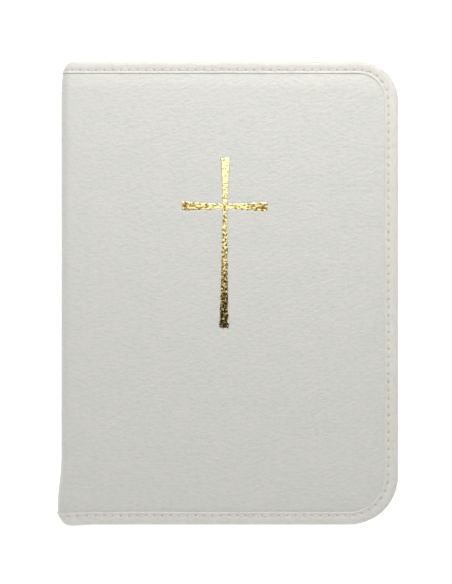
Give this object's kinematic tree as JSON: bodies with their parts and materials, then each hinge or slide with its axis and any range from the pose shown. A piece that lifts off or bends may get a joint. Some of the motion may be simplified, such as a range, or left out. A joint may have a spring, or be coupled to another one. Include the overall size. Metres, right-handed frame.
{
  "type": "zip-round prayer book",
  "caption": "Small book in a white padded imitation-leather case with a stitched edge binding, a zip on three sides and a stamped gold cross; it opens flat.",
  "frame": {"origin": "centre of the closed book's footprint, on the surface that it lies on", "axes": "+X from the spine to the fore-edge, +Y from tail to head, +Z from back cover to front cover"},
  "size_m": [0.1164, 0.16, 0.03],
  "materials": {
    "cover_leather": "white padded imitation leather, fine grain",
    "binding_leather": "white imitation leather strip, fine grain",
    "thread": "off-white sewing thread",
    "foam": "soft padding",
    "board": "grey-brown board",
    "lining": "cream lining cloth",
    "zip_tape": "white woven tape",
    "zip_coil": "white nylon coil",
    "zip_metal": "polished gold-coloured metal",
    "endpaper": "plain cream paper",
    "pages": "thin cream paper with gold edges",
    "spine_cloth": "open-weave cotton",
    "band": "gold and white woven band",
    "ribbon": "gold satin ribbon",
    "gold_foil": "stamped gold foil, grained and worn"
  },
  "bodies": {
    "back_cover": {"back_leather": "cover_leather", "back_foam": "foam", "back_board": "board", "back_lining": "lining", "back_binding": "binding_leather", "back_stitching": "thread", "back_zip_tape": "zip_tape", "back_zip_coil": "zip_coil", "back_top_stop": "zip_metal", "back_pastedown": "endpaper", "back_flyleaf": "endpaper", "back_sections_outer": "pages", "zip_bottom_stop": "zip_metal"},
    "spine": {"spine_leather": "cover_leather", "spine_card": "board", "spine_lining": "lining", "spine_head_binding": "binding_leather", "spine_tail_binding": "binding_leather", "spine_stitching": "thread"},
    "front_cover": {"front_leather": "cover_leather", "front_foam": "foam", "front_board": "board", "front_lining": "lining", "front_binding": "binding_leather", "front_stitching": "thread", "front_zip_tape": "zip_tape", "front_zip_coil": "zip_coil", "front_top_stop": "zip_metal", "front_pastedown": "endpaper", "front_flyleaf": "endpaper", "front_sections_outer": "pages", "gold_cross": "gold_foil"},
    "pages_back_middle": {"back_sections_middle": "pages", "spine_cloth_back": "spine_cloth", "head_band_back": "band", "tail_band_back": "band"},
    "pages_back_inner": {"back_sections_inner": "pages", "ribbon_marker": "ribbon"},
    "pages_front_middle": {"front_sections_middle": "pages", "spine_cloth_front": "spine_cloth", "head_band_front": "band", "tail_band_front": "band"},
    "pages_front_inner": {"front_sections_inner": "pages"},
    "leaf_right": {"loose_leaf_right": "pages"},
    "leaf_left": {"loose_leaf_left": "pages"},
    "zip_slider": {"slider_body": "zip_metal", "slider_bail": "zip_metal"},
    "zip_pull": {"zip_pull": "zip_metal"}
  },
  "joints": [
    {"name": "book_open", "type": "hinge", "parent": "back_cover", "child": "spine", "pos_m": [-0.05737, 0, 0.00088], "axis": [0, -1, 0], "range_deg": [0, 90]},
    {"name": "front_fold", "type": "hinge", "parent": "spine", "child": "front_cover", "pos_m": [-0.05737, 0, 0.02912], "axis": [0, -1, 0], "range_deg": [0, 90], "deforming": ["front_zip_coil"]},
    {"name": "back_middle_shift", "type": "slide", "parent": "back_cover", "child": "pages_back_middle", "axis": [-1, 0, 0], "range_m": [0, 0.0077], "deforming": ["spine_cloth_back", "head_band_back", "tail_band_back"]},
    {"name": "back_inner_shift", "type": "slide", "parent": "back_cover", "child": "pages_back_inner", "axis": [-1, 0, 0], "range_m": [0, 0.0154]},
    {"name": "front_middle_shift", "type": "slide", "parent": "front_cover", "child": "pages_front_middle", "axis": [-1, 0, 0], "range_m": [0, 0.0077], "deforming": ["spine_cloth_front", "head_band_front", "tail_band_front"]},
    {"name": "front_inner_shift", "type": "slide", "parent": "front_cover", "child": "pages_front_inner", "axis": [-1, 0, 0], "range_m": [0, 0.0154]},
    {"name": "leaf_right_turn", "type": "hinge", "parent": "pages_back_inner", "child": "leaf_right", "pos_m": [-0.05505, 0, 0.015], "axis": [0, -1, 0], "range_deg": [0, 31]},
    {"name": "leaf_left_turn", "type": "hinge", "parent": "pages_back_inner", "child": "leaf_left", "pos_m": [-0.05505, 0, 0.015], "axis": [0, -1, 0], "range_deg": [0, 151]},
    {"name": "slider_travel", "type": "slide", "parent": "back_cover", "child": "zip_slider", "axis": [1, 0, 0], "range_m": [0, 0.08]},
    {"name": "pull_swing", "type": "hinge", "parent": "zip_slider", "child": "zip_pull", "pos_m": [-0.046, -0.07905, 0.015], "axis": [0, 0, -1], "range_deg": [0, 170]}
  ],
  "couplings": [
    {"joint": "front_fold", "follows": "book_open", "ratio": 1},
    {"joint": "back_middle_shift", "follows": "book_open", "m_per_rad": 0.0048702},
    {"joint": "back_inner_shift", "follows": "book_open", "m_per_rad": 0.0097403},
    {"joint": "front_middle_shift", "follows": "book_open", "m_per_rad": 0.0048702},
    {"joint": "front_inner_shift", "follows": "book_open", "m_per_rad": 0.0097403},
    {"joint": "leaf_right_turn", "follows": "book_open", "ratio": 0.33333},
    {"joint": "leaf_left_turn", "follows": "book_open", "ratio": 1.6667}
  ]
}
